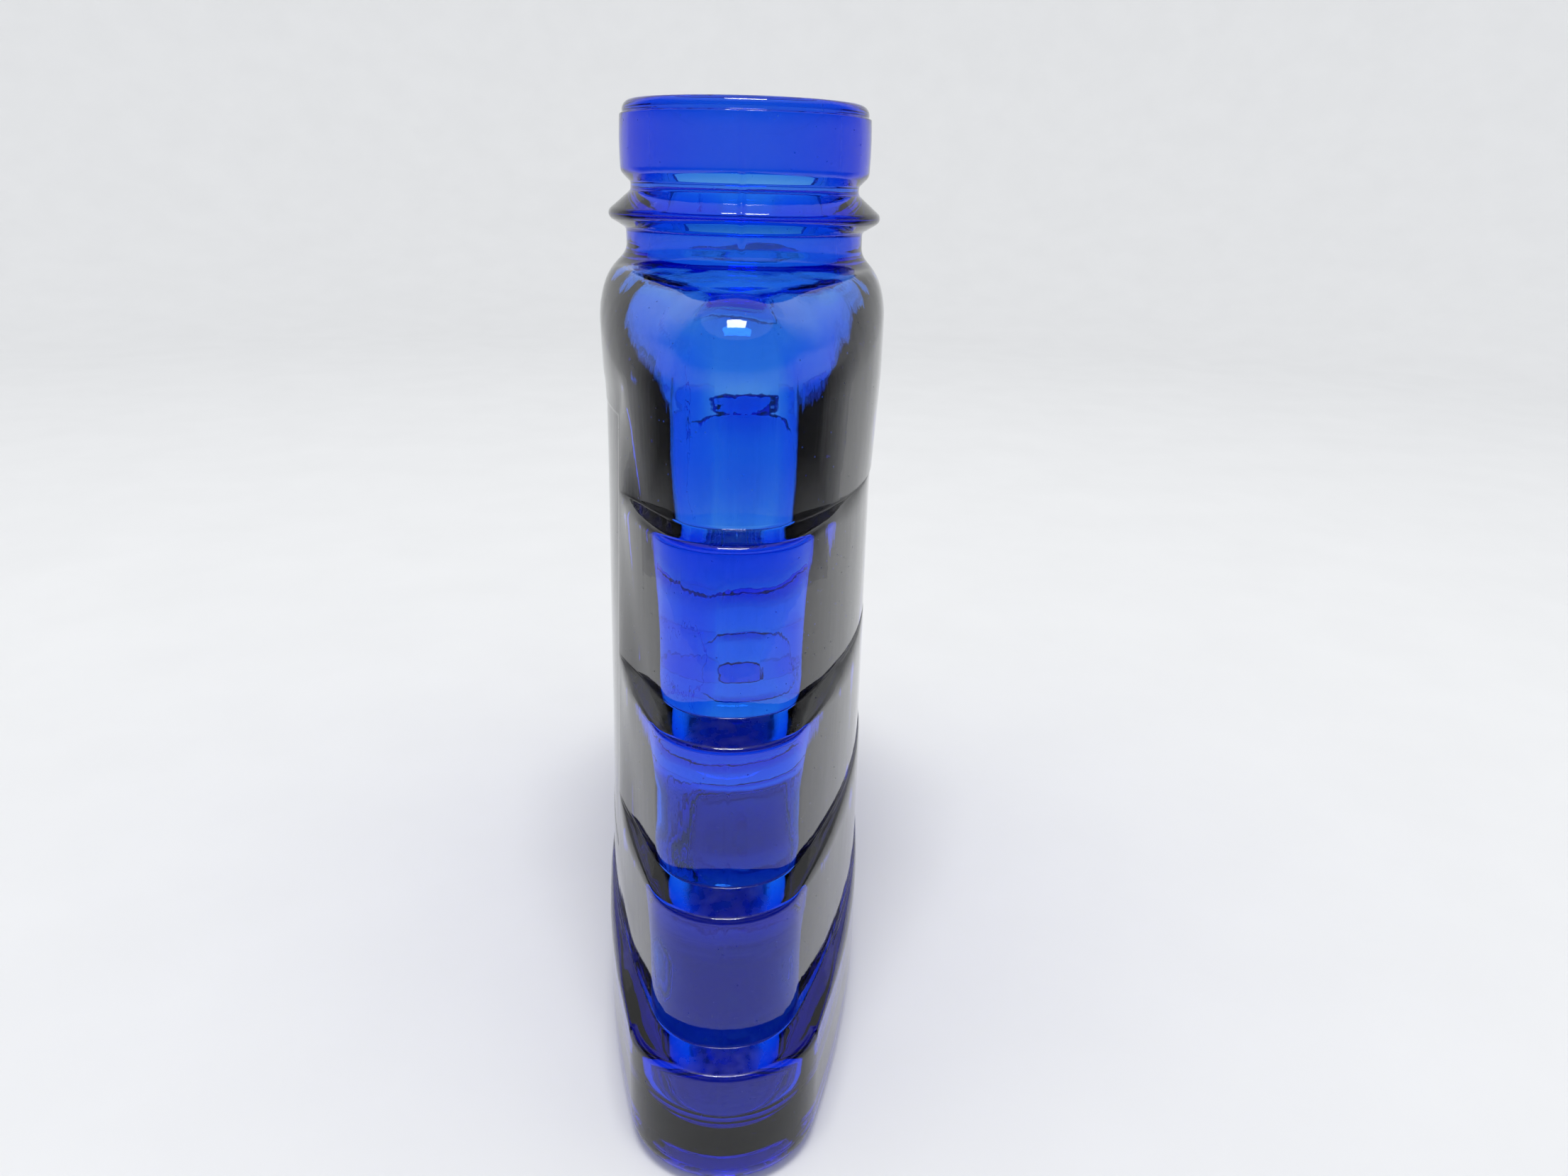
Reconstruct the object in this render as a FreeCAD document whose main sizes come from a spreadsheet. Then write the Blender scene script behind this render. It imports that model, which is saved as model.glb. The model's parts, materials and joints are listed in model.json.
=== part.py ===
import FreeCAD, Part
import Sketcher
import math
import os

# Moulded oval flask in five steps, a bare round finish on top.
# Millimetres, +Z up, origin under the middle of the base.
# The long side lies along X, the front face with the label panel looks to -Y.

DIMENSIONS = {
    # Finish: collar, groove, bead and the upper part of the neck
    "rim_height": 135.9,
    "collar_radius": 19.0,
    "collar_bottom": 125.9,
    "groove_radius": 17.5,
    "groove_top": 124.4,
    "groove_bottom": 123.3,
    "bead_radius": 21.95,
    "bead_height": 119.75,
    "bead_foot": 117.8,
    "neck_radius": 18.3,
    "neck_joint": 117.0,
    "bore_radius": 14.5,
    "rim_round": 2.0,
    "lip_round": 1.0,
    "collar_round": 1.2,
    "bead_round": 1.0,
    # Crowned roof of the shoulder: its height over the axis and at its ends above the noses
    "shoulder_top": 115.2,
    "shoulder_brow": 109.8,
    "roof_half": 48.0,
    "roof_reach": 118.0,
    # Levels of the ledges and of the ends of the hollow
    "shoulder_ceiling": 108.5,
    "ledge_one": 82.4,
    "ledge_two": 59.2,
    "ledge_three": 38.6,
    "ledge_four": 18.4,
    "inside_floor": 6.0,
    # Half lengths of the tiers, from the axis to the tip of the nose
    "shoulder_half": 46.0,
    "upper_half": 53.1,
    "middle_half": 60.4,
    "lower_half": 66.4,
    "foot_half": 71.2,
    # Half depths of the tiers, from the axis to the middle of a broad face
    "shoulder_depth": 21.5,
    "upper_depth": 21.1,
    "middle_depth": 21.1,
    "lower_depth": 21.4,
    "foot_depth": 21.7,
    "nose_radius": 10.5,
    "foot_nose_radius": 12.0,
    # Degrees by which the shoulder widens from the first ledge upwards
    "shoulder_flare": 1.8,
    # Half depths of the hollow, a touch wider in each tier below
    "shoulder_cavity": 16.1,
    "upper_cavity": 16.2,
    "middle_cavity": 16.3,
    "lower_cavity": 16.4,
    "foot_cavity": 16.5,
    "cavity_nose_radius": 7.5,
    "throat_radius": 15.0,
    "nose_wall": 3.8,
    "ledge_thickness": 3.6,
    # Roundings and the small bevel along the ledges
    "shoulder_round": 8.0,
    "ceiling_round": 6.0,
    "root_round": 1.8,
    "ledge_bevel": 0.6,
    "inner_round": 3.0,
    "heel_round": 3.0,
    # Push-up under the base, inside the bearing ring
    "push_up_inset": 8.0,
    "push_up_depth": 1.3,
    # Label panel let into the front face, wider below like the tiers
    "panel_top": 93.0,
    "panel_bottom": 30.0,
    "panel_top_half": 18.9,
    "panel_bottom_half": 37.2,
    "panel_top_crown": 21.0,
    "panel_bottom_crown": 20.3,
    "panel_top_side": 18.4,
    "panel_bottom_side": 16.2,
    "panel_reach": 25.0,
}

START, END, CENTRE = 1, 2, 3
ORIGIN, X_AXIS, Y_AXIS = -1, -1, -2
FRONT, UP = -1, 1
# Tolerances for finding faces and edges, and the least volume that a cut takes away
SAME = 1e-4
CLOSE = 0.01
LEAST_CUT = 1.0

doc = FreeCAD.newDocument("stepped_flask")
dims = doc.addObject("Spreadsheet::Sheet", "dims")
for row, (alias, size) in enumerate(DIMENSIONS.items(), start=1):
    dims.set(f"A{row}", alias)
    dims.set(f"B{row}", str(size))
    dims.setAlias(f"B{row}", alias)
doc.recompute()


def size_of(expression):
    return float(dims.evalExpression(expression))


def cell(alias):
    return f"dims.{alias}"


def new_body(label):
    body = doc.addObject("PartDesign::Body", label)
    body.Label = label
    body.Placement = FreeCAD.Placement()
    return body


def new_sketch(body, name, role="XY_Plane", level=None):
    # A level lifts the sketch along the normal of its plane.
    sketch = body.newObject("Sketcher::SketchObject", f"{body.Name}_{name}")
    plane = next(item for item in body.Origin.OriginFeatures if item.Role == role)
    sketch.AttachmentSupport = [(plane, "")]
    sketch.MapMode = "FlatFace"
    if level is not None:
        sketch.setExpression("AttachmentOffset.Base.z", level)
    return sketch


def drive(sketch, name, expression, kind, *where):
    # Adds a dimension that takes its value from the sheet.
    index = sketch.addConstraint(Sketcher.Constraint(kind, *where, size_of(expression)))
    sketch.renameConstraint(index, name)
    sketch.setExpression(f"Constraints.{name}", expression)


def arc(centre_x, centre_y, radius, first, last):
    circle = Part.Circle(FreeCAD.Vector(centre_x, centre_y, 0), FreeCAD.Vector(0, 0, 1), radius)
    return Part.ArcOfCircle(circle, first, last)


def draw_oval(sketch, half, depth, nose):
    # Two nose arcs and two flank arcs, tangent to each other all round.
    flank = f"(({half})^2 + ({depth})^2 - 2 * ({half}) * ({nose})) / (2 * (({depth}) - ({nose})))"
    nose_radius = size_of(nose)
    flank_radius = size_of(flank)
    nose_centre = size_of(half) - nose_radius
    flank_centre = flank_radius - size_of(depth)
    turn = math.atan2(flank_centre, nose_centre)
    right = sketch.addGeometry(arc(nose_centre, 0, nose_radius, -turn, turn))
    back = sketch.addGeometry(arc(0, -flank_centre, flank_radius, turn, math.pi - turn))
    left = sketch.addGeometry(arc(-nose_centre, 0, nose_radius, math.pi - turn, math.pi + turn))
    front = sketch.addGeometry(arc(0, flank_centre, flank_radius, math.pi + turn, 2 * math.pi - turn))
    for first, second in ((right, back), (back, left), (left, front)):
        sketch.addConstraint(Sketcher.Constraint("Tangent", first, END, second, START))
    sketch.addConstraint(Sketcher.Constraint("Coincident", front, END, right, START))
    for nose_arc in (right, left):
        sketch.addConstraint(Sketcher.Constraint("PointOnObject", nose_arc, CENTRE, X_AXIS))
    sketch.addConstraint(Sketcher.Constraint("PointOnObject", back, CENTRE, Y_AXIS))
    sketch.addConstraint(Sketcher.Constraint("Equal", right, left))
    sketch.addConstraint(Sketcher.Constraint("Equal", back, front))
    drive(sketch, "nose", nose, "Radius", right)
    drive(sketch, "flank", flank, "Radius", back)
    drive(sketch, "nose_centre", f"({half}) - ({nose})", "DistanceX", ORIGIN, START, right, CENTRE)


def draw_circle(sketch, radius):
    circle = Part.Circle(FreeCAD.Vector(0, 0, 0), FreeCAD.Vector(0, 0, 1), size_of(radius))
    index = sketch.addGeometry(circle)
    sketch.addConstraint(Sketcher.Constraint("Coincident", index, CENTRE, ORIGIN, START))
    drive(sketch, "radius", radius, "Radius", index)


def draw_outline(sketch, corners):
    # A closed run of straight lines through corners given as pairs of expressions.
    points = [FreeCAD.Vector(size_of(across), size_of(up), 0) for across, up in corners]
    lines = []
    for index, point in enumerate(points):
        following = points[(index + 1) % len(points)]
        lines.append(sketch.addGeometry(Part.LineSegment(point, following)))
    for index, line in enumerate(lines):
        following = lines[(index + 1) % len(lines)]
        sketch.addConstraint(Sketcher.Constraint("Coincident", line, END, following, START))
    for line, (across, up) in zip(lines, corners):
        drive(sketch, f"across_{line}", across, "DistanceX", ORIGIN, START, line, START)
        drive(sketch, f"up_{line}", up, "DistanceY", ORIGIN, START, line, START)


def draw_crowned(sketch, half, crown, side, reach, facing):
    # A crowned line, highest in the middle, closed on the side it faces by three straight lines.
    rise = f"({crown} - {side})"
    floor_radius = f"({half}^2 + {rise}^2) / (2 * {rise})"
    radius = size_of(floor_radius)
    across = size_of(half)
    opening = math.asin(across / radius)
    middle = facing * math.pi / 2
    centre = facing * (size_of(crown) - radius)
    floor = sketch.addGeometry(arc(0, centre, radius, middle - opening, middle + opening))
    # Going round, the crowned line ends to the right when it faces down and to the left when it faces up.
    last = -facing * across
    corners = [(last, facing * size_of(side)), (last, facing * size_of(reach))]
    corners += [(-across, up) for across, up in reversed(corners)]
    points = [FreeCAD.Vector(across, up, 0) for across, up in corners]
    edges = [sketch.addGeometry(Part.LineSegment(*pair)) for pair in zip(points, points[1:])]
    loop = [floor] + edges
    for index, piece in enumerate(loop):
        following = loop[(index + 1) % len(loop)]
        sketch.addConstraint(Sketcher.Constraint("Coincident", piece, END, following, START))
    for edge, kind in zip(edges, ("Vertical", "Horizontal", "Vertical")):
        sketch.addConstraint(Sketcher.Constraint(kind, edge))
    sketch.addConstraint(Sketcher.Constraint("PointOnObject", floor, CENTRE, Y_AXIS))
    drive(sketch, "floor_radius", floor_radius, "Radius", floor)
    drive(sketch, "last_side", f"{-facing} * {half}", "DistanceX", ORIGIN, START, floor, END)
    drive(sketch, "side_depth", f"{facing} * {side}", "DistanceY", ORIGIN, START, floor, END)
    drive(sketch, "reach", f"{facing} * {reach}", "DistanceY", ORIGIN, START, edges[1], START)


def cut_panel(body):
    # Every tier that the panel crosses is cut with the same tapering form.
    before = body.Shape.Volume
    ends = []
    for end in ("bottom", "top"):
        sketch = new_sketch(body, f"panel_{end}_plan", level=cell(f"panel_{end}"))
        half, crown, side = [cell(f"panel_{end}_{name}") for name in ("half", "crown", "side")]
        draw_crowned(sketch, half, crown, side, cell("panel_reach"), facing=FRONT)
        ends.append(sketch)
    doc.recompute()
    feature = body.newObject("PartDesign::SubtractiveLoft", f"{body.Name}_panel")
    feature.Profile = ends[0]
    feature.Sections = [ends[1]]
    feature.Ruled = True
    doc.recompute()
    if body.Shape.Volume > before - LEAST_CUT:
        raise RuntimeError(f"{feature.Name} cuts nothing")


def pad(body, name, sketch, length):
    feature = body.newObject("PartDesign::Pad", f"{body.Name}_{name}")
    feature.Profile = sketch
    feature.setExpression("Length", length)
    doc.recompute()
    return feature


def pocket_up(body, name, sketch, length):
    # Cuts upwards from the sketch, and stops if nothing was taken away.
    before = body.Shape.Volume
    feature = body.newObject("PartDesign::Pocket", f"{body.Name}_{name}")
    feature.Profile = sketch
    feature.Reversed = True
    feature.setExpression("Length", length)
    doc.recompute()
    if body.Shape.Volume > before - LEAST_CUT:
        raise RuntimeError(f"{feature.Name} cuts nothing")
    return feature


def edges_where(feature, test):
    names = []
    for index, edge in enumerate(feature.Shape.Edges, start=1):
        samples = edge.discretize(Number=7)
        if all(test(point) for point in samples):
            names.append(f"Edge{index}")
    if not names:
        raise RuntimeError(f"no edge to soften on {feature.Name}")
    return names


def faces_where(feature, test):
    return [f"Face{index}" for index, face in enumerate(feature.Shape.Faces, start=1) if test(face)]


def is_flat(face):
    return face.Surface.TypeId == "Part::GeomPlane"


def fillet(body, name, base, radius, test):
    feature = body.newObject("PartDesign::Fillet", f"{body.Name}_{name}")
    feature.Base = (base, edges_where(base, test))
    feature.setExpression("Radius", radius)
    doc.recompute()
    return feature


def bevel(body, name, base, size, test):
    feature = body.newObject("PartDesign::Chamfer", f"{body.Name}_{name}")
    feature.Base = (base, edges_where(base, test))
    feature.setExpression("Size", size)
    doc.recompute()
    return feature


def at_level(expression):
    level = size_of(expression)
    return lambda point: abs(point.z - level) < SAME


def on_circle(radius_expression, level_expression):
    radius = size_of(radius_expression)
    level = size_of(level_expression)
    return lambda point: abs(math.hypot(point.x, point.y) - radius) < SAME and abs(point.z - level) < SAME


def draw_cavity(sketch, tier):
    half = f"{cell(tier + '_half')} - {cell('nose_wall')}"
    draw_oval(sketch, half, cell(f"{tier}_cavity"), cell("cavity_nose_radius"))


def hollow(body, tier, bottom, ceiling, rounding):
    # The cavity rises to a flat ceiling with a rounded edge.
    sketch = new_sketch(body, "cavity_plan", level=bottom)
    draw_cavity(sketch, tier)
    cavity = pocket_up(body, "cavity", sketch, f"{ceiling} - {bottom}")
    return fillet(body, "ceiling_round", cavity, rounding, at_level(ceiling))


def make_finish():
    body = new_body("finish")
    profile = new_sketch(body, "profile", role="XZ_Plane")
    draw_outline(profile, [
        (cell("neck_radius"), cell("neck_joint")),
        (cell("neck_radius"), cell("bead_foot")),
        (cell("bead_radius"), cell("bead_height")),
        (cell("groove_radius"), cell("groove_bottom")),
        (cell("groove_radius"), cell("groove_top")),
        (cell("collar_radius"), cell("collar_bottom")),
        (cell("collar_radius"), cell("rim_height")),
        (cell("bore_radius"), cell("rim_height")),
        (cell("bore_radius"), cell("neck_joint")),
    ])
    turned = body.newObject("PartDesign::Revolution", "finish_turned")
    turned.Profile = profile
    turned.ReferenceAxis = (profile, ["V_Axis"])
    turned.Angle = 360
    doc.recompute()
    rim = on_circle(cell("collar_radius"), cell("rim_height"))
    lip = on_circle(cell("bore_radius"), cell("rim_height"))
    collar = on_circle(cell("collar_radius"), cell("collar_bottom"))
    bead = on_circle(cell("bead_radius"), cell("bead_height"))
    rounded = fillet(body, "rim_round", turned, cell("rim_round"), rim)
    rounded = fillet(body, "lip_round", rounded, cell("lip_round"), lip)
    rounded = fillet(body, "collar_round", rounded, cell("collar_round"), collar)
    fillet(body, "bead_round", rounded, cell("bead_round"), bead)
    return body


def make_shoulder():
    # The widest band is at the top, and the broad faces draw in towards the first ledge.
    body = new_body("shoulder_tier")
    plan = new_sketch(body, "plan", level=cell("ledge_one"))
    draw_oval(plan, cell("shoulder_half"), cell("shoulder_depth"), cell("nose_radius"))
    block = pad(body, "block", plan, f"{cell('shoulder_top')} - {cell('ledge_one')}")
    low_level = size_of(cell("ledge_one"))

    def is_low(face):
        return abs(face.CenterOfMass.z - low_level) < SAME

    flared = body.newObject("PartDesign::Draft", "shoulder_tier_flared")
    flared.Base = (block, faces_where(block, lambda face: not is_flat(face)))
    flared.NeutralPlane = (block, faces_where(block, lambda face: is_flat(face) and is_low(face)))
    flared.setExpression("Angle", cell("shoulder_flare"))
    flared.Reversed = True
    doc.recompute()
    # A crowned roof that falls towards both noses, with a broad rounding all along its edge
    roof = new_sketch(body, "roof_line", role="XZ_Plane")
    crown = [cell(name) for name in ("roof_half", "shoulder_top", "shoulder_brow", "roof_reach")]
    draw_crowned(roof, *crown, facing=UP)
    crowned = body.newObject("PartDesign::Pocket", "shoulder_tier_roof")
    crowned.Profile = roof
    crowned.Type = "ThroughAll"
    crowned.Midplane = True
    doc.recompute()
    roof_level = size_of(cell("shoulder_brow")) - SAME
    fillet(body, "top_round", crowned, cell("shoulder_round"), lambda point: point.z > roof_level)
    # The round neck stands on a shoulder hardly deeper than itself, so its root dips on both faces.
    root_level = f"{cell('shoulder_top')} - {cell('shoulder_round')}"
    stem_plan = new_sketch(body, "stem_plan", level=root_level)
    draw_circle(stem_plan, cell("neck_radius"))
    stem = pad(body, "stem", stem_plan, f"{cell('neck_joint')} - ({root_level})")
    radius = size_of(cell("neck_radius"))
    joint = size_of(cell("neck_joint"))

    def at_root(point):
        return abs(math.hypot(point.x, point.y) - radius) < CLOSE and point.z < joint - SAME

    fillet(body, "root_round", stem, cell("root_round"), at_root)
    hollow(body, "shoulder", cell("ledge_one"), cell("shoulder_ceiling"), cell("ceiling_round"))
    throat_plan = new_sketch(body, "throat_plan", level=cell("ledge_one"))
    draw_circle(throat_plan, cell("throat_radius"))
    pocket_up(body, "throat", throat_plan, f"{cell('neck_joint')} - {cell('ledge_one')}")
    cut_panel(body)
    return body


def make_tier(tier, above, bottom, top, nose="nose_radius"):
    # A tier is a ring under a ledge, open below, with the hollow of the tier above as its throat.
    body = new_body(f"{tier}_tier")
    plan = new_sketch(body, "plan", level=cell(bottom))
    draw_oval(plan, cell(f"{tier}_half"), cell(f"{tier}_depth"), cell(nose))
    height = f"{cell(top)} - {cell(bottom)}"
    block = pad(body, "block", plan, height)
    bevel(body, "ledge_bevel", block, cell("ledge_bevel"), at_level(cell(top)))
    ceiling = f"{cell(top)} - {cell('ledge_thickness')}"
    hollow(body, tier, cell(bottom), ceiling, cell("inner_round"))
    throat_plan = new_sketch(body, "throat_plan", level=cell(bottom))
    draw_cavity(throat_plan, above)
    pocket_up(body, "throat", throat_plan, height)
    if size_of(cell(top)) > size_of(cell("panel_bottom")):
        cut_panel(body)
    return body


def make_base():
    body = new_body("base")
    plan = new_sketch(body, "plan")
    draw_oval(plan, cell("foot_half"), cell("foot_depth"), cell("foot_nose_radius"))
    block = pad(body, "block", plan, cell("inside_floor"))
    fillet(body, "heel", block, cell("heel_round"), lambda point: abs(point.z) < SAME)
    ring_plan = new_sketch(body, "push_up_plan")
    inset = cell("push_up_inset")
    inset_sizes = [f"{cell(name)} - {inset}" for name in ("foot_half", "foot_depth", "foot_nose_radius")]
    draw_oval(ring_plan, *inset_sizes)
    pocket_up(body, "push_up", ring_plan, cell("push_up_depth"))
    return body


TIERS = (
    ("upper", "shoulder", "ledge_two", "ledge_one"),
    ("middle", "upper", "ledge_three", "ledge_two"),
    ("lower", "middle", "ledge_four", "ledge_three"),
    ("foot", "lower", "inside_floor", "ledge_four", "foot_nose_radius"),
)

pieces = [make_finish(), make_shoulder()]
pieces += [make_tier(*tier) for tier in TIERS]
pieces.append(make_base())
doc.recompute()

for item in doc.Objects:
    if "Invalid" in item.State or "Error" in item.State:
        raise RuntimeError(f"{item.Name} failed: {item.State}")
for piece in pieces:
    if piece.Shape.isNull() or not piece.Shape.isValid():
        raise RuntimeError(f"{piece.Label} has no valid shape")
    if len(piece.Shape.Solids) != 1:
        raise RuntimeError(f"{piece.Label} has {len(piece.Shape.Solids)} solids")

os.makedirs("parts", exist_ok=True)
for piece in pieces:
    piece.Shape.exportStep(f"parts/{piece.Label}.step")
    print(piece.Label, "volume", round(piece.Shape.Volume), "mm3")
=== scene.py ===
import json
import math

import bpy
import numpy as np
from mathutils import Matrix, Vector, noise


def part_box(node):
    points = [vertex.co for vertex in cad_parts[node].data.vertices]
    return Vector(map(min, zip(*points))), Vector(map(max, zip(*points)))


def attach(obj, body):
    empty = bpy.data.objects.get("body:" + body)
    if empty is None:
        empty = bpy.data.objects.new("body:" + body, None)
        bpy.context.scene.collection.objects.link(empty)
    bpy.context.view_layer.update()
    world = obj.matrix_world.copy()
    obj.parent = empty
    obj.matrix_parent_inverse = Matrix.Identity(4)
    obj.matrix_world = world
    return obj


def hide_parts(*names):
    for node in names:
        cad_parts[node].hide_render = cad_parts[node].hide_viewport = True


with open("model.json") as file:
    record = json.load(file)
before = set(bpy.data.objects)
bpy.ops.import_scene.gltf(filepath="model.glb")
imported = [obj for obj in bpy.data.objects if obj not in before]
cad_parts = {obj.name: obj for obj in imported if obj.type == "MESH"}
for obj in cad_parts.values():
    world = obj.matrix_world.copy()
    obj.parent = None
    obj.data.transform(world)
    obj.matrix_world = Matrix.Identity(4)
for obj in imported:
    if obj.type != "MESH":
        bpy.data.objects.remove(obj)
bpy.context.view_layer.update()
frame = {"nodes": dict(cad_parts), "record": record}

# Cobalt glass flask, moulded in one piece: an oval body in five tiers under a round finish.
# Lengths are millimetres until the mesh is made. The nose that looks at the camera is at +X.
MM = 0.001
SMALL = 1e-6

# The tiers under the four ledges, from the foot up, and the measured sizes of the mounts
TIERS = ("foot_tier", "lower_tier", "middle_tier", "upper_tier")
mounts = {mount["name"]: mount["dims"] for mount in frame["record"]["mounts"]}

# Glass thickness at the noses, on the broad faces and in the base. The walls thin out towards the top
# of the shoulder, between the two heights given.
NOSE_WALL = 4.0
TOP_NOSE_WALL = 3.0
NOSE_THINNING = (78.0, 98.0)
FLANK_WALL = 6.0
TOP_FLANK_WALL = 3.3
FLANK_THINNING = (91.0, 103.0)
BASE_THICKNESS = 6.0

# Plan of the tiers: small noses between two long flank arcs. The glass lies a thin skin inside the
# solids, which leaves room for its waves, and the shoulder flares towards its top.
NOSE_RADIUS = 10.5
FOOT_NOSE_RADIUS = 13.2
CAVITY_NOSE_RADIUS = 8.3
SHOULDER_FLARE = 0.8
SKIN = 0.15

# Ledges from the foot up: how large their outer edges and inner corners are, how far they slope down, and
# how far they rise above the top of their tier. Below the full width, along the flanks, the edge grows by
# up to the flank edge and the slope lessens. Edge and corner take no more than a share of the width.
LEDGE_EDGES = (0.9, 0.9, 0.9, 1.1)
LEDGE_CORNERS = (0.3, 0.3, 0.3, 0.4)
LEDGE_DROPS = (0.6, 0.6, 0.6, 0.1)
LEDGE_RISE = 0.3
LEDGE_FULL_WIDTH = 5.0
FLANK_EDGE = 2.5
EDGE_SHARE = 0.75
CORNER_SHARE = 0.2
HEEL_ROUND = 3.2

# The hollow follows the ledges in soft swells: how far below a ledge the middle of a swell lies, and how
# far it spreads up and down
SWELL_SINK = 2.5
SWELL_SPREADS = (6.5, 6.5, 6.5, 13.0)
INNER_HEEL = 5.0

# Shoulder, and the ceiling of the hollow under it. Each pair is for the noses and for the broad faces:
# where the wall starts to bend in, and how far the bend reaches in and up. The roof rises towards the
# neck from a distance to the axis, and meets it in a round root.
BEND_STARTS = (98.5, 103.6)
BEND_START = min(BEND_STARTS)
SHOULDER = {
    "reach": (10.0, 3.0),
    "height": (13.0, 7.0),
    "rise_from": 36.0,
    "rise": 2.8,
    "root": 2.2,
}
CEILING = {
    "reach": (6.8, 1.4),
    "height": (8.8, 2.6),
    "rise_from": 58.0,
    "rise": 6.0,
    "root": 2.6,
}

# Between these two distances from the middle, the broad faces' shoulder turns into the noses' shoulder
FACE_HALF = 8.0
NOSE_FROM = 36.0

# Finish, from the neck up to the rim and down the bore, with the radius that rounds each corner. The bead
# tip is how far its sharp corner lies beyond the bead once it is rounded.
NECK_RADIUS = 18.3
NECK_TOP = 117.2
BEAD_FOOT = 117.8
BEAD_FOOT_ROUND = 0.8
BEAD_HEIGHT = 119.75
BEAD_TIP = 0.7
BEAD_ROUND = 1.05
GROOVE_RADIUS = 17.5
GROOVE_BOTTOM = 123.3
GROOVE_BOTTOM_ROUND = 0.9
GROOVE_TOP = 124.4
GROOVE_TOP_ROUND = 0.6
COLLAR_RADIUS = mounts["collar"]["r_mm"]
COLLAR_BOTTOM = 125.9
COLLAR_BOTTOM_ROUND = 1.5
COLLAR_SWELL = 0.15
COLLAR_SWELL_ROUND = 60.0
RIM_STEP = 0.4
RIM_STEP_EDGE = 0.3
RIM_STEP_CORNER = 0.2
RIM_ROLL = 2.0
RIM_OUTER_ROUND = 1.4
RIM_INNER_ROUND = 1.2
BORE_RADIUS = mounts["mouth"]["r_mm"]

# Push-up under the base: its inset from the outline, the width of its slope, and its depth above the
# slope and in the middle
PUSH_UP_INSET = 8.0
PUSH_UP_SLOPE = 2.6
PUSH_UP_DEPTH = 1.3
PUSH_UP_CROWN = 1.95

# Label panel on the front face: a smooth crowned field with a fine step along its border. The ledges fade
# in from it, sideways over a share of its half width, and above and below it over a height.
PANEL_TOP = 93.0
PANEL_BOTTOM = 30.0
PANEL_TOP_HALF = 24.0
PANEL_BOTTOM_HALF = 36.5
PANEL_TOP_CROWN = 21.4
PANEL_BOTTOM_CROWN = 20.9
PANEL_TOP_SIDE = 17.1
PANEL_BOTTOM_SIDE = 16.9
PANEL_STEP = 0.1
PANEL_FADE = 0.35
PANEL_FADE_HEIGHT = 8.0

# Mould seam along both noses, and the waviness of the blown surfaces, drawn out along the height, with
# finer ripples on the waves
FINISH_SEAM = 0.16
BODY_SEAM = 0.015
SEAM_WIDTH = 0.35
OUTER_WAVE = 0.05
OUTER_STRETCH = 2.5
INNER_WAVE = 0.15
INNER_STRETCH = 10.0
WAVE_LENGTH = 7.5
RIPPLE_SHARE = 0.4
RIPPLES_PER_WAVE = 2.3

# Grid of the mesh: steps along each form, and extra rows beside the ledges and the ends of the panel
NOSE_STEPS = 58
FACE_STEPS = 24
EVEN_SHARE = 0.12
FACE_CROWDING = 1.6
WALL_STEP = 1.6
ARC_STEPS = 8
FLAT_STEPS = 5
DISC_STEPS = 10
ROOF_STEPS = 44
ROOF_SAMPLES = 400
LEDGE_SUPPORT = 0.15
PANEL_SUPPORTS = (-0.3, -0.1, 0.1, 0.3)


def top_of(node):
    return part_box(node)[1].z / MM


def half_sizes(node):
    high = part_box(node)[1]
    return high.x / MM - SKIN, high.y / MM - SKIN


def ease(share):
    share = np.clip(share, 0, 1)
    return share * share * (3 - 2 * share)


def quarter_columns():
    # From the tip of a nose to the border of the panel by turn, then by place to the middle of the face.
    share = np.linspace(0, 1, NOSE_STEPS, endpoint=False)
    turns = EVEN_SHARE * share + (1 - EVEN_SHARE) * ease(share)
    places = 1 - np.linspace(0, 1, FACE_STEPS + 1) ** FACE_CROWDING
    return np.append(turns, np.ones_like(places)), np.append(np.ones_like(turns), places)


# Columns of the mesh all the way round: one quarter and its mirror images, without repeats where they meet
quarter_turn, quarter_face = quarter_columns()
last = len(quarter_turn) - 1
quarters = [
    (np.arange(last + 1), 1, 1),
    (np.arange(last - 1, -1, -1), -1, 1),
    (np.arange(1, last + 1), -1, -1),
    (np.arange(last - 1, 0, -1), 1, -1),
]
column = np.concatenate([index for index, _, _ in quarters])
side_x = np.concatenate([np.full(len(index), sign) for index, sign, _ in quarters])
side_y = np.concatenate([np.full(len(index), sign) for index, _, sign in quarters])
column_turn = quarter_turn[column]
column_face = quarter_face[column]
on_face = column >= NOSE_STEPS
COLUMNS = len(column)


def panel_share(height):
    return (PANEL_TOP - height) / (PANEL_TOP - PANEL_BOTTOM)


def panel_half(height):
    return PANEL_TOP_HALF + (PANEL_BOTTOM_HALF - PANEL_TOP_HALF) * panel_share(height)


def flank_radius(half, depth, nose):
    return (half**2 + depth**2 - 2 * half * nose) / (2 * (depth - nose))


def oval_angles(half, depth, nose, height):
    flank = flank_radius(half, depth, nose)
    border = panel_half(height)
    beside_face = column_turn * np.arccos(border / flank)
    return np.where(on_face, np.arccos(column_face * border / flank), beside_face)


def oval(half, depth, nose, height):
    # Plan of one level: nose arcs and flank arcs that meet without a corner.
    flank = flank_radius(half, depth, nose)
    angle = oval_angles(half, depth, nose, height)
    joint = np.arctan2(flank - depth, half - nose)
    cos, sin = np.cos(angle), np.sin(angle)
    x = np.where(angle < joint, half - nose + nose * cos, flank * cos)
    y = np.where(angle < joint, nose * sin, flank * sin - (flank - depth))
    return np.column_stack([side_x * x, side_y * y])


def level_row(plan, height):
    return np.column_stack([plan, np.full(COLUMNS, 1.0) * height])


def tier_plan(node, nose=NOSE_RADIUS):
    half, depth = half_sizes(node)
    return lambda height: oval(half, depth, nose, height)


def wall_at(height, lower, upper, thinning):
    low, high = thinning
    return lower + (upper - lower) * ease((height - low) / (high - low))


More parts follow.
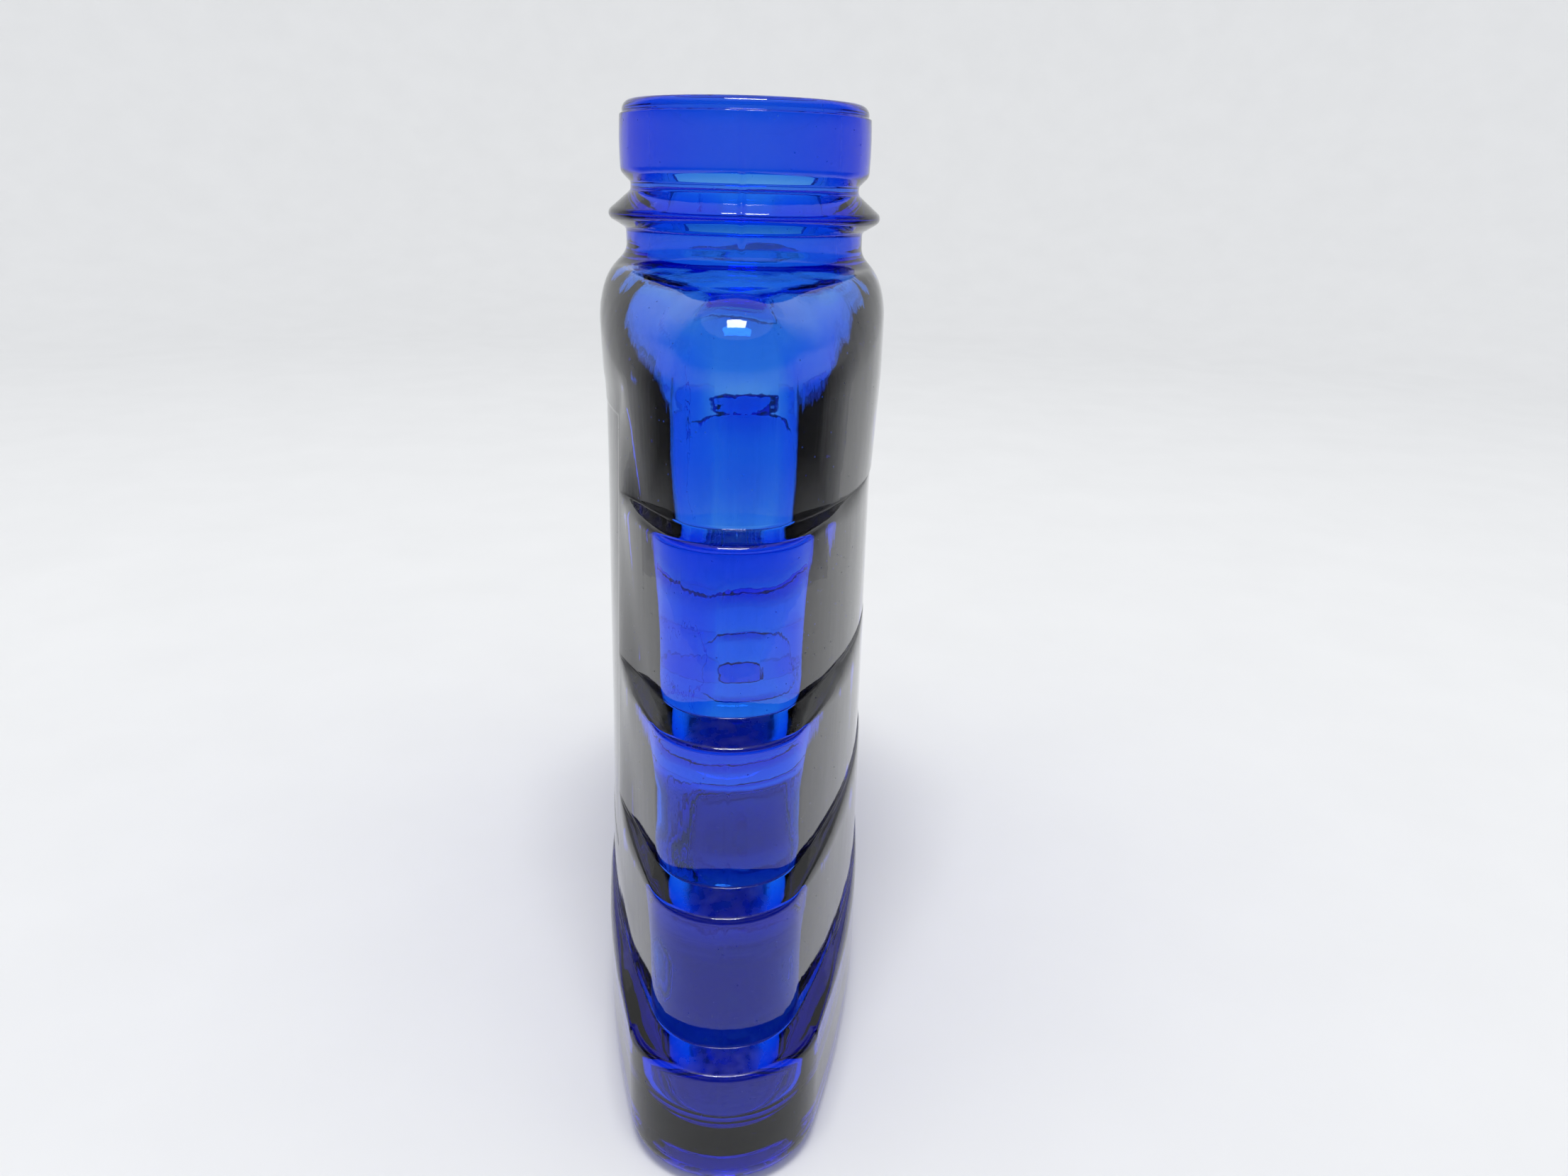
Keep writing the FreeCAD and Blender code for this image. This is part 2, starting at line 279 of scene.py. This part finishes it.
def cavity_plan(height):
    # The sizes of the tiers, each eased into the next one, less the glass.
    sizes = np.array(half_sizes("foot_tier"))
    for low, high, spread in zip(TIERS, (*TIERS[1:], "shoulder_tier"), SWELL_SPREADS):
        middle = top_of(low) - SWELL_SINK
        share = ease((height - middle + spread) / (2 * spread))
        sizes += share * (np.array(half_sizes(high)) - np.array(half_sizes(low)))
    half = sizes[0] - wall_at(height, NOSE_WALL, TOP_NOSE_WALL, NOSE_THINNING)
    depth = sizes[1] - wall_at(height, FLANK_WALL, TOP_FLANK_WALL, FLANK_THINNING)
    return oval(half, depth, CAVITY_NOSE_RADIUS, height)


def shoulder_plan(height):
    # Draws in a little from the bend of the shoulder down to the first ledge.
    half, depth = half_sizes("shoulder_tier")
    low = top_of("upper_tier")
    flare = SHOULDER_FLARE * np.clip((BEND_START - height) / (BEND_START - low), 0, 1)
    return oval(half - flare, depth - flare, NOSE_RADIUS, height)


neck_angle = oval_angles(*half_sizes("shoulder_tier"), NOSE_RADIUS, BEND_START)
neck_direction = np.column_stack([side_x * np.cos(neck_angle), side_y * np.sin(neck_angle)])


def wall_rows(plan, low, high, marks=()):
    count = max(2, math.ceil((high - low) / WALL_STEP))
    heights = sorted([*np.linspace(low, high, count), *[mark for mark in marks if low < mark < high]])
    return [level_row(plan(height), height) for height in heights]


def quarter_arc():
    return np.linspace(0, math.pi / 2, ARC_STEPS + 1)


def step_rows(low, high, level, edge, corner, drop):
    # From the wall of a wide plan, round an edge, over a ledge and up the wall of the plan above it.
    # Where the plans come close, on the broad faces, the ledge fades into a fine line.
    width = np.linalg.norm(low(level) - high(level), axis=1)
    fullness = np.clip(width / LEDGE_FULL_WIDTH, 0, 1)
    drop = drop * fullness
    edge = edge + FLANK_EDGE * (1 - fullness)
    edge_share = np.minimum(edge / np.maximum(width, SMALL), EDGE_SHARE)
    corner_share = np.minimum(corner / np.maximum(width, SMALL), CORNER_SHARE)
    corner = np.minimum(corner, CORNER_SHARE * width)
    stations = [(0 * width, level - drop - edge - LEDGE_SUPPORT)]
    for angle in quarter_arc():
        inward = edge_share * (1 - math.cos(angle))
        stations.append((inward, level - drop - edge * (1 - math.sin(angle))))
    for share in np.linspace(0, 1, FLAT_STEPS + 1)[1:-1]:
        inward = edge_share + share * (1 - edge_share - corner_share)
        stations.append((inward, level - drop * (1 - share)))
    for angle in quarter_arc():
        inward = 1 - corner_share * (1 - math.sin(angle))
        stations.append((inward, level + corner * (1 - math.cos(angle))))
    stations.append((1 + 0 * width, level + corner + LEDGE_SUPPORT))
    rows = []
    for inward, height in stations:
        outer, inner = low(height), high(height)
        rows.append(level_row(outer + (inner - outer) * inward[:, None], height))
    return rows


def inside_distance(x, y, half, depth, nose):
    # How far a point in the plan lies from its outline.
    flank = flank_radius(half, depth, nose)
    x, y = np.abs(x), np.abs(y)
    beside_nose = np.arctan2(y, x - (half - nose)) < math.atan2(flank - depth, half - nose)
    to_flank = flank - np.hypot(x, y + flank - depth)
    to_nose = nose - np.hypot(x - (half - nose), y)
    return np.maximum(np.where(beside_nose, to_nose, to_flank), 0)


def roof_rows(sizes, radius, reach, height, rise_from, rise, root):
    # From the wall over the shoulder to the round neck. The height follows the distance from the outline,
    # so the roof is broad towards the noses and dips to a saddle where the neck is as deep as the body.
    half, depth, nose = sizes
    share = np.linspace(0, 1, ROOF_SAMPLES)[:, None, None]
    outer, inner = oval(half, depth, nose, BEND_START), radius * neck_direction
    path = outer + (inner - outer) * share
    x, y = path[..., 0], path[..., 1]
    towards_nose = ease((np.abs(x) - FACE_HALF) / (NOSE_FROM - FACE_HALF))
    pairs = (BEND_STARTS, reach, height)
    foot, bend, lift = [at_face + (at_nose - at_face) * towards_nose for at_nose, at_face in pairs]
    inset = np.clip(inside_distance(x, y, half, depth, nose) / bend, 0, 1)
    from_axis = np.hypot(x, y)
    near_neck = np.clip((radius + root - from_axis) / root, 0, 1)
    level = foot + lift * np.sqrt(1 - (1 - inset) ** 2)
    level += rise * np.clip((rise_from - from_axis) / (rise_from - radius), 0, 1) ** 2
    level += root * (1 - np.sqrt(1 - near_neck**2))
    return evenly_spaced(np.dstack([x, y, level]))


def evenly_spaced(surface):
    # Rows at even distances along each path from the wall to the neck.
    steps = np.linalg.norm(np.diff(surface, axis=0), axis=2)
    length = np.vstack([np.zeros(COLUMNS), np.cumsum(steps, axis=0)])
    rows = np.zeros((ROOF_STEPS, COLUMNS, 3))
    for j in range(COLUMNS):
        stations = np.linspace(0, length[-1, j], ROOF_STEPS)
        for axis in range(3):
            rows[:, j, axis] = np.interp(stations, length[:, j], surface[:, j, axis])
    return list(rows)


def rounded(corners):
    # A profile of radius and height through corners, each rounded by its own radius.
    points = [corners[0][:2]]
    for before, (radius, height, bend), after in zip(corners, corners[1:], corners[2:]):
        corner = np.array([radius, height])
        back = np.array(before[:2]) - corner
        ahead = np.array(after[:2]) - corner
        back, ahead = back / np.linalg.norm(back), ahead / np.linalg.norm(ahead)
        half_angle = math.acos(np.clip(back @ ahead, -1, 1)) / 2
        bisector = (back + ahead) / np.linalg.norm(back + ahead)
        centre = corner + bisector * bend / math.sin(half_angle)
        sweep = math.pi / 2 - half_angle
        across = (ahead - back) / np.linalg.norm(ahead - back)
        for turn_by in np.linspace(-sweep, sweep, ARC_STEPS + 1):
            points.append(centre + bend * (across * math.sin(turn_by) - bisector * math.cos(turn_by)))
    points.append(corners[-1][:2])
    return points


def disc_rows(plan, edge_height, middle_height):
    # Shrinks a plan to the middle along a shallow dome, without the middle point itself.
    rows = []
    for share in np.linspace(0, 1, DISC_STEPS + 1)[1:]:
        height = middle_height + (edge_height - middle_height) * ease(share)
        rows.append(level_row(plan * share, height))
    return rows


def base_rows():
    # From the middle of the push-up over the bearing ring to the heel.
    half, depth = half_sizes("foot_tier")

    def inset_plan(inset):
        return oval(half - inset, depth - inset, FOOT_NOSE_RADIUS - inset, 0)

    rows = disc_rows(inset_plan(PUSH_UP_INSET), PUSH_UP_DEPTH, PUSH_UP_CROWN)
    for share in np.linspace(0, 1, ARC_STEPS)[1:]:
        inset = PUSH_UP_INSET - PUSH_UP_SLOPE * share
        rows.append(level_row(inset_plan(inset), PUSH_UP_DEPTH * (1 - ease(share))))
    for angle in quarter_arc():
        inset = HEEL_ROUND * (1 - math.sin(angle))
        rows.append(level_row(inset_plan(inset), HEEL_ROUND * (1 - math.cos(angle))))
    return rows


def with_panel(row):
    # Lays the smooth field over the steps of the front face, with a fine step along its border.
    x, y, height = row.T
    share = panel_share(height)
    crown = PANEL_TOP_CROWN + (PANEL_BOTTOM_CROWN - PANEL_TOP_CROWN) * share
    side = PANEL_TOP_SIDE + (PANEL_BOTTOM_SIDE - PANEL_TOP_SIDE) * share
    reach = np.abs(x) / panel_half(height)
    field = crown - (crown - side) * reach**2
    beyond = np.maximum((reach - 1) / PANEL_FADE, (height - PANEL_TOP) / PANEL_FADE_HEIGHT)
    beyond = np.maximum(beyond, (PANEL_BOTTOM - height) / PANEL_FADE_HEIGHT)
    outside = beyond > SMALL
    weight = (1 - ease(beyond)) * (side_y < 0)
    depth = np.abs(y) * (1 - weight) + (field + PANEL_STEP * outside) * weight
    return np.column_stack([x, side_y * depth, height])


def outer_rows():
    plans = [tier_plan(node) for node in TIERS]
    plans[0] = tier_plan("foot_tier", FOOT_NOSE_RADIUS)
    plans.append(shoulder_plan)
    levels = [top_of(node) + LEDGE_RISE for node in TIERS]
    marks = [end + offset for end in (PANEL_BOTTOM, PANEL_TOP) for offset in PANEL_SUPPORTS]
    rows = []
    low = HEEL_ROUND + WALL_STEP
    for plan, above, level, edge, corner, drop in zip(
        plans, plans[1:], levels, LEDGE_EDGES, LEDGE_CORNERS, LEDGE_DROPS
    ):
        rows += wall_rows(plan, low, level - drop - edge - FLANK_EDGE - WALL_STEP / 2, marks)
        rows += step_rows(plan, above, level, edge, corner, drop)
        low = level + corner + WALL_STEP / 2
    rows += wall_rows(shoulder_plan, low, BEND_START - WALL_STEP / 2, marks)
    return [with_panel(row) for row in rows]


def finish_rows():
    rim = top_of("finish")
    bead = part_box("finish")[1].x / MM - SKIN
    collar_middle = (COLLAR_BOTTOM + rim - RIM_ROLL) / 2
    corners = [
        (NECK_RADIUS, NECK_TOP, 0),
        (NECK_RADIUS, BEAD_FOOT, BEAD_FOOT_ROUND),
        (bead + BEAD_TIP, BEAD_HEIGHT, BEAD_ROUND),
        (GROOVE_RADIUS, GROOVE_BOTTOM, GROOVE_BOTTOM_ROUND),
        (GROOVE_RADIUS, GROOVE_TOP, GROOVE_TOP_ROUND),
        (COLLAR_RADIUS, COLLAR_BOTTOM, COLLAR_BOTTOM_ROUND),
        (COLLAR_RADIUS + COLLAR_SWELL, collar_middle, COLLAR_SWELL_ROUND),
        (COLLAR_RADIUS, rim - RIM_ROLL, RIM_STEP_EDGE),
        (COLLAR_RADIUS - RIM_STEP, rim - RIM_ROLL + RIM_STEP / 2, RIM_STEP_CORNER),
        (COLLAR_RADIUS - RIM_STEP, rim, RIM_OUTER_ROUND),
        (BORE_RADIUS, rim, RIM_INNER_ROUND),
        (BORE_RADIUS, NECK_TOP, 0),
    ]
    return [level_row(radius * neck_direction, height) for radius, height in rounded(corners)]


def inner_rows():
    # From the middle of the inside floor up to the bore.
    floor = BASE_THICKNESS
    half, depth = half_sizes("foot_tier")

    def floor_plan(inset):
        sizes = [size - inset for size in (half - NOSE_WALL, depth - FLANK_WALL, CAVITY_NOSE_RADIUS)]
        return oval(*sizes, floor)

    rows = disc_rows(floor_plan(INNER_HEEL), floor, floor + PUSH_UP_DEPTH)
    for angle in quarter_arc()[1:]:
        inset = INNER_HEEL * (1 - math.sin(angle))
        rows.append(level_row(floor_plan(inset), floor + INNER_HEEL * (1 - math.cos(angle))))
    rows += wall_rows(cavity_plan, floor + INNER_HEEL + WALL_STEP / 2, BEND_START - WALL_STEP / 2)
    half, depth = half_sizes("shoulder_tier")
    sizes = (half - TOP_NOSE_WALL, depth - TOP_FLANK_WALL, CAVITY_NOSE_RADIUS)
    rows += roof_rows(sizes, BORE_RADIUS, **CEILING)
    return rows


def normals_of(grid):
    along = np.roll(grid, -1, axis=1) - np.roll(grid, 1, axis=1)
    up = np.gradient(grid, axis=0)
    normal = np.cross(along, up)
    return normal / np.maximum(np.linalg.norm(normal, axis=2, keepdims=True), SMALL)


def waves(grid, stretch):
    # Gentle swells of the surface with ripples on them, the same on every run.
    points = grid.reshape(-1, 3) / WAVE_LENGTH / np.array([1, 1, stretch])
    heights = []
    for point in points:
        ripple = noise.noise(Vector(point * RIPPLES_PER_WAVE))
        heights.append(noise.noise(Vector(point)) + RIPPLE_SHARE * ripple)
    return np.array(heights).reshape(grid.shape[:2])


def bottle_grid():
    # The base and the finish stay true, and the other surfaces are wavy. The seam stops under the rim.
    base = base_rows()
    body = outer_rows()
    roof = roof_rows((*half_sizes("shoulder_tier"), NOSE_RADIUS), NECK_RADIUS, **SHOULDER)
    finish = finish_rows()
    inside = inner_rows()[::-1]
    grid = np.array(base + body + roof + finish + inside)
    counts = [len(rows) for rows in (base, body, roof, finish, inside)]
    outer, inner = grid[:-len(inside)], grid[-len(inside):]
    swell = np.vstack([OUTER_WAVE * waves(outer, OUTER_STRETCH), INNER_WAVE * waves(inner, INNER_STRETCH)])
    wavy = np.repeat([0, 1, 1, 0, 1], counts)
    seam = np.repeat([0, BODY_SEAM, BODY_SEAM, FINISH_SEAM, 0], counts)
    seam = np.where(grid[:, 0, 2] > top_of("finish") - RIM_ROLL, 0, seam)
    ridge = np.exp(-((grid[:, :, 1] / SEAM_WIDTH) ** 2))
    lift = wavy[:, None] * swell + seam[:, None] * ridge
    return grid + normals_of(grid) * lift[:, :, None]


def closed_skin(grid):
    # Faces between the rows and columns of a grid, closed at both ends round a middle point.
    rows = len(grid)
    points = grid.reshape(-1, 3)
    vertices = np.vstack([points, points[:COLUMNS].mean(axis=0), points[-COLUMNS:].mean(axis=0)]) * MM
    first_middle, last_middle = rows * COLUMNS, rows * COLUMNS + 1
    following = np.roll(np.arange(COLUMNS), -1).tolist()
    faces = []
    for row in range(rows - 1):
        low, high = row * COLUMNS, (row + 1) * COLUMNS
        faces += [(low + j, low + k, high + k, high + j) for j, k in enumerate(following)]
    top = (rows - 1) * COLUMNS
    faces += [(first_middle, k, j) for j, k in enumerate(following)]
    faces += [(top + j, top + k, last_middle) for j, k in enumerate(following)]
    return vertices.tolist(), faces


def add_object(name, data):
    item = bpy.data.objects.new(name, data)
    bpy.context.scene.collection.objects.link(item)
    return item


def mesh_object(name, vertices, faces, material):
    mesh = bpy.data.meshes.new(name)
    mesh.from_pydata(vertices, [], faces)
    mesh.materials.append(material)
    return add_object(name, mesh)


def make_bottle():
    bottle = mesh_object("bottle_glass", *closed_skin(bottle_grid()), cobalt_glass())
    bottle.data.shade_smooth()
    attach(bottle, "root")
    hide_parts(*frame["nodes"])


# Glass that lets blue through, with some green and no red. The density is for one metre of glass.
GLASS_IOR = 1.52
ABSORPTION_DENSITY = 630.0
ABSORPTION_COLOUR = (0.0, 0.58, 0.973, 1.0)

# Marks on the glass. Each noise has a scale for one metre and a detail, and each range is the part of the
# noise over which a mark comes in.
STREAK_NOISE = (60.0, 3.0)
STREAK_RANGE = (0.35, 0.7)
STREAK_TINTS = ((0.9, 0.93, 1.0), (1.0, 1.0, 1.0))
FILM_NOISE = (140.0, 5.0)
FILM_RANGE = (0.45, 0.8)
FILM_ROUGHNESS = (0.01, 0.05)
DUST_SCALE = 450.0
DUST_RANGE = (0.04, 0.07)
DUST_ROUGHNESS = (0.7, 0.0)
PEEL_NOISE = (420.0, 2.0)
DRAG_NOISE = (700.0, 2.0)
DRAG_STRETCH = 0.06
SKIN_STRENGTH = 0.25
SKIN_RELIEF = 0.05

# Dull blotches on the ledges: how level the surface is, how far they reach above and below the ledges, and
# how far to the side of the noses they fade out
BLOTCH_NOISE = (500.0, 3.0)
BLOTCH_RANGE = (0.35, 0.65)
BLOTCH_ROUGHNESS = (0.15, 0.5)
BLOTCH_LEVEL = (0.75, 0.95)
BLOTCH_MARGIN = 3.0
BLOTCH_SIDES = (4.0 * MM, 8.0 * MM)


def node_material(name):
    material = bpy.data.materials.new(name)
    material.use_nodes = True
    tree = material.node_tree
    place = tree.nodes.new("ShaderNodeTexCoord").outputs["Object"]
    return material, tree, tree.nodes["Principled BSDF"], place


def noise_node(tree, vector, scale, detail):
    texture = tree.nodes.new("ShaderNodeTexNoise")
    texture.inputs["Scale"].default_value = scale
    texture.inputs["Detail"].default_value = detail
    tree.links.new(vector, texture.inputs["Vector"])
    return texture.outputs["Fac"]


def math_node(tree, operation, *values):
    # Each value is a plain number or the output of another node.
    node = tree.nodes.new("ShaderNodeMath")
    node.operation = operation
    for socket, value in zip(node.inputs, values):
        if isinstance(value, float):
            socket.default_value = value
        else:
            tree.links.new(value, socket)
    return node.outputs["Value"]


def ramp_node(tree, factor, positions, colours):
    # Blends from colour to colour, each at its own position.
    ramp = tree.nodes.new("ShaderNodeValToRGB")
    elements = ramp.color_ramp.elements
    elements[0].position = positions[0]
    elements[0].color = (*colours[0], 1)
    elements[1].position = positions[-1]
    elements[1].color = (*colours[-1], 1)
    for position, colour in zip(positions[1:-1], colours[1:-1]):
        elements.new(position).color = (*colour, 1)
    tree.links.new(factor, ramp.inputs["Fac"])
    return ramp.outputs["Color"]


def grey_ramp(tree, factor, positions, values):
    return ramp_node(tree, factor, positions, [(value, value, value) for value in values])


def axes_node(tree, vector):
    node = tree.nodes.new("ShaderNodeSeparateXYZ")
    tree.links.new(vector, node.inputs["Vector"])
    return node.outputs


def melt_streaks(tree, place):
    # Faint streaks in the colour of the melt.
    return ramp_node(tree, noise_node(tree, place, *STREAK_NOISE), STREAK_RANGE, STREAK_TINTS)


def handling_marks(tree, place):
    # A thin film of handling marks, and specks of dust.
    film = grey_ramp(tree, noise_node(tree, place, *FILM_NOISE), FILM_RANGE, FILM_ROUGHNESS)
    cells = tree.nodes.new("ShaderNodeTexVoronoi")
    cells.inputs["Scale"].default_value = DUST_SCALE
    tree.links.new(place, cells.inputs["Vector"])
    dust = grey_ramp(tree, cells.outputs["Distance"], DUST_RANGE, DUST_ROUGHNESS)
    return math_node(tree, "MAXIMUM", film, dust)


def dull_ledges(tree, place):
    # The tops of the lower three ledges are duller at the noses, in blotches.
    surface = tree.nodes.new("ShaderNodeNewGeometry")
    facing = axes_node(tree, surface.outputs["Normal"])
    spot = axes_node(tree, place)
    aside = math_node(tree, "ABSOLUTE", spot["Y"])
    factors = [
        grey_ramp(tree, facing["Z"], BLOTCH_LEVEL, (0, 1)),
        math_node(tree, "LESS_THAN", spot["Z"], (top_of("middle_tier") + BLOTCH_MARGIN) * MM),
        math_node(tree, "GREATER_THAN", spot["Z"], (top_of("foot_tier") - BLOTCH_MARGIN) * MM),
        grey_ramp(tree, aside, BLOTCH_SIDES, (1, 0)),
    ]
    dull = grey_ramp(tree, noise_node(tree, place, *BLOTCH_NOISE), BLOTCH_RANGE, BLOTCH_ROUGHNESS)
    for factor in factors:
        dull = math_node(tree, "MULTIPLY", dull, factor)
    return dull


def mould_skin(tree, place):
    # The cold mould leaves a fine orange-peel skin, with drag lines along the height.
    drawn = tree.nodes.new("ShaderNodeMapping")
    drawn.inputs["Scale"].default_value = (1.0, 1.0, DRAG_STRETCH)
    tree.links.new(place, drawn.inputs["Vector"])
    peel = noise_node(tree, place, *PEEL_NOISE)
    drag = noise_node(tree, drawn.outputs["Vector"], *DRAG_NOISE)
    bump = tree.nodes.new("ShaderNodeBump")
    bump.inputs["Strength"].default_value = SKIN_STRENGTH
    bump.inputs["Distance"].default_value = SKIN_RELIEF * MM
    tree.links.new(math_node(tree, "ADD", peel, drag), bump.inputs["Height"])
    return bump.outputs["Normal"]


def cobalt_glass():
    material, tree, shader, place = node_material("cobalt_glass")
    shader.inputs["IOR"].default_value = GLASS_IOR
    shader.inputs["Transmission Weight"].default_value = 1.0
    roughness = math_node(tree, "MAXIMUM", handling_marks(tree, place), dull_ledges(tree, place))
    tree.links.new(melt_streaks(tree, place), shader.inputs["Base Color"])
    tree.links.new(roughness, shader.inputs["Roughness"])
    tree.links.new(mould_skin(tree, place), shader.inputs["Normal"])
    volume = tree.nodes.new("ShaderNodeVolumeAbsorption")
    volume.inputs["Color"].default_value = ABSORPTION_COLOUR
    volume.inputs["Density"].default_value = ABSORPTION_DENSITY
    tree.links.new(volume.outputs["Volume"], tree.nodes["Material Output"].inputs["Volume"])
    return material


# Stage, in metres: a round studio cove, so that every view has the same plain background
COVE_FLOOR = 0.8
COVE_BEND = 0.5
COVE_TOP = 1.0
COVE_COLUMNS = 96
COVE_FLOOR_STEPS = 4
COVE_ARC_STEPS = 16
FLOOR_ROUGHNESS = 0.9
FLOOR_NOISE = (30.0, 4.0)
FLOOR_RANGE = (0.3, 0.7)
FLOOR_COLOURS = ((0.84, 0.845, 0.85), (0.86, 0.865, 0.87))


def pale_floor():
    material, tree, shader, place = node_material("pale_floor")
    shader.inputs["Roughness"].default_value = FLOOR_ROUGHNESS
    grain = ramp_node(tree, noise_node(tree, place, *FLOOR_NOISE), FLOOR_RANGE, FLOOR_COLOURS)
    tree.links.new(grain, shader.inputs["Base Color"])
    return material


def make_cove():
    profile = [(COVE_FLOOR * share, 0.0) for share in np.linspace(0, 1, COVE_FLOOR_STEPS + 1)[1:]]
    for angle in np.linspace(0, math.pi / 2, COVE_ARC_STEPS + 1)[1:]:
        profile.append((COVE_FLOOR + COVE_BEND * math.sin(angle), COVE_BEND * (1 - math.cos(angle))))
    profile.append((COVE_FLOOR + COVE_BEND, COVE_TOP))
    angles = np.linspace(0, 2 * math.pi, COVE_COLUMNS, endpoint=False)
    vertices = [
        (radius * math.cos(angle), radius * math.sin(angle), height)
        for radius, height in profile
        for angle in angles
    ]
    faces = [tuple(range(COVE_COLUMNS))]
    for row in range(len(profile) - 1):
        low, high = row * COVE_COLUMNS, (row + 1) * COVE_COLUMNS
        for j in range(COVE_COLUMNS):
            k = (j + 1) % COVE_COLUMNS
            faces.append((low + k, low + j, high + j, high + k))
    cove = mesh_object("cove", vertices, faces, pale_floor())
    cove.data.shade_smooth()


# Sheet for painted reflections, in metres, which curves round the front and the sides and which only
# reflections see: its dark grey paints shade into the reflections on the glass. It turns pale towards both
# ends and the foot, so that these painted reflections end softly, and it has a paler band at the height of
# the finish, which paints lighter reflections there.
FLAG_RADIUS = 0.2
FLAG_TOP = 0.33
FLAG_FOOT = 0.04
FLAG_BAND = (0.115, 0.15)
FLAG_BAND_EDGE = 0.02
FLAG_HALF_TURN = math.radians(127)
FLAG_FADE_TURN = math.radians(107)
FLAG_COLUMNS = 32
# Greys of the sheet, which show only as painted shade and painted light in the reflections on the glass
FLAG_DARK = 0.12
FLAG_PALE = 0.9
FLAG_BAND_GREY = 0.7


def dark_flag():
    # Painted shade for the reflections, pale at both ends and the foot, with a painted lighter band at the
    # finish.
    material, tree, shader, place = node_material("dark_flag")
    shader.inputs["Roughness"].default_value = 1.0
    spot = axes_node(tree, place)
    behind = math_node(tree, "MULTIPLY", spot["X"], -1.0)
    fade = [-FLAG_RADIUS * math.cos(angle) for angle in (FLAG_FADE_TURN, FLAG_HALF_TURN)]
    ends = grey_ramp(tree, behind, fade, (FLAG_DARK, FLAG_PALE))
    low, high = FLAG_BAND
    heights = (0, FLAG_FOOT, low - FLAG_BAND_EDGE, low, high, high + FLAG_BAND_EDGE)
    greys = (FLAG_PALE, FLAG_DARK, FLAG_DARK, FLAG_BAND_GREY, FLAG_BAND_GREY, FLAG_DARK)
    levels = grey_ramp(tree, spot["Z"], heights, greys)
    tree.links.new(math_node(tree, "MAXIMUM", ends, levels), shader.inputs["Base Color"])
    return material


def make_reflection_sheet():
    angles = np.linspace(-FLAG_HALF_TURN, FLAG_HALF_TURN, FLAG_COLUMNS + 1)
    rim = [(FLAG_RADIUS * math.cos(angle), FLAG_RADIUS * math.sin(angle)) for angle in angles]
    vertices = [(x, y, height) for height in (0.0, FLAG_TOP) for x, y in rim]
    count = len(rim)
    faces = [(j, j + 1, count + j + 1, count + j) for j in range(FLAG_COLUMNS)]
    flag = mesh_object("flag", vertices, faces, dark_flag())
    # Only glossy rays see the sheet, so its colour reaches the render only as painted reflections.
    flag.visible_camera = False
    flag.visible_diffuse = False
    flag.visible_transmission = False
    flag.visible_volume_scatter = False
    flag.visible_shadow = False


# Soft light: one wide lamp overhead, in metres and watts, and a pale sky all round
LAMP_PLACE = (0.33, 0.0, 1.5)
LAMP_TARGET = (0.0, 0.0, 0.1)
LAMP_SIZE = (0.6, 0.3)
LAMP_POWER = 11.0
WORLD_COLOUR = (0.8, 0.81, 0.83, 1.0)
WORLD_STRENGTH = 0.7


def make_lamp():
    data = bpy.data.lights.new("overhead", "AREA")
    data.shape = "RECTANGLE"
    data.size, data.size_y = LAMP_SIZE
    data.energy = LAMP_POWER
    lamp = add_object("overhead", data)
    lamp.location = LAMP_PLACE
    lamp.rotation_euler = (Vector(LAMP_TARGET) - Vector(LAMP_PLACE)).to_track_quat("-Z", "Y").to_euler()
    lamp.visible_camera = False


def make_world():
    world = bpy.data.worlds.new("studio")
    bpy.context.scene.world = world
    world.use_nodes = True
    background = world.node_tree.nodes["Background"]
    background.inputs["Color"].default_value = WORLD_COLOUR
    background.inputs["Strength"].default_value = WORLD_STRENGTH


# Camera: a wide lens close to the nose, above the middle of the bottle and looking down at it
IMAGE_WIDTH = 2212
FOCAL_PIXELS = 1600.0
SENSOR_WIDTH = 36.0
CAMERA_NEAR = 10.0
CAMERA_DISTANCE = 185.0
CAMERA_HEIGHT = 124.4
CAMERA_PITCH = math.radians(19.53)
CAMERA_ROLL = math.radians(1.5)
CAMERA_ASIDE = math.radians(2.35)
BOTTLE_TURN = math.radians(1.0)


def make_camera():
    data = bpy.data.cameras.new("camera")
    data.sensor_fit = "HORIZONTAL"
    data.sensor_width = SENSOR_WIDTH
    data.lens = FOCAL_PIXELS / IMAGE_WIDTH * SENSOR_WIDTH
    data.clip_start = CAMERA_NEAR * MM
    turn_cos, turn_sin = math.cos(BOTTLE_TURN), math.sin(BOTTLE_TURN)
    ahead = Vector((-turn_cos, turn_sin, 0))
    right = Vector((turn_sin, turn_cos, 0))
    up = Vector((0, 0, 1))
    aside = CAMERA_DISTANCE * math.tan(CAMERA_ASIDE)
    place = (right * aside - ahead * CAMERA_DISTANCE + up * CAMERA_HEIGHT) * MM
    pitched_ahead = ahead * math.cos(CAMERA_PITCH) - up * math.sin(CAMERA_PITCH)
    pitched_up = ahead * math.sin(CAMERA_PITCH) + up * math.cos(CAMERA_PITCH)
    rolled_right = right * math.cos(CAMERA_ROLL) + pitched_up * math.sin(CAMERA_ROLL)
    rolled_up = pitched_up * math.cos(CAMERA_ROLL) - right * math.sin(CAMERA_ROLL)
    turned = Matrix((rolled_right, rolled_up, -pitched_ahead)).transposed().to_4x4()
    camera = add_object("camera", data)
    camera.matrix_world = Matrix.Translation(place) @ turned
    bpy.context.scene.camera = camera


make_bottle()
make_cove()
make_reflection_sheet()
make_lamp()
make_world()
make_camera()
bpy.context.scene.view_settings.view_transform = "Standard"
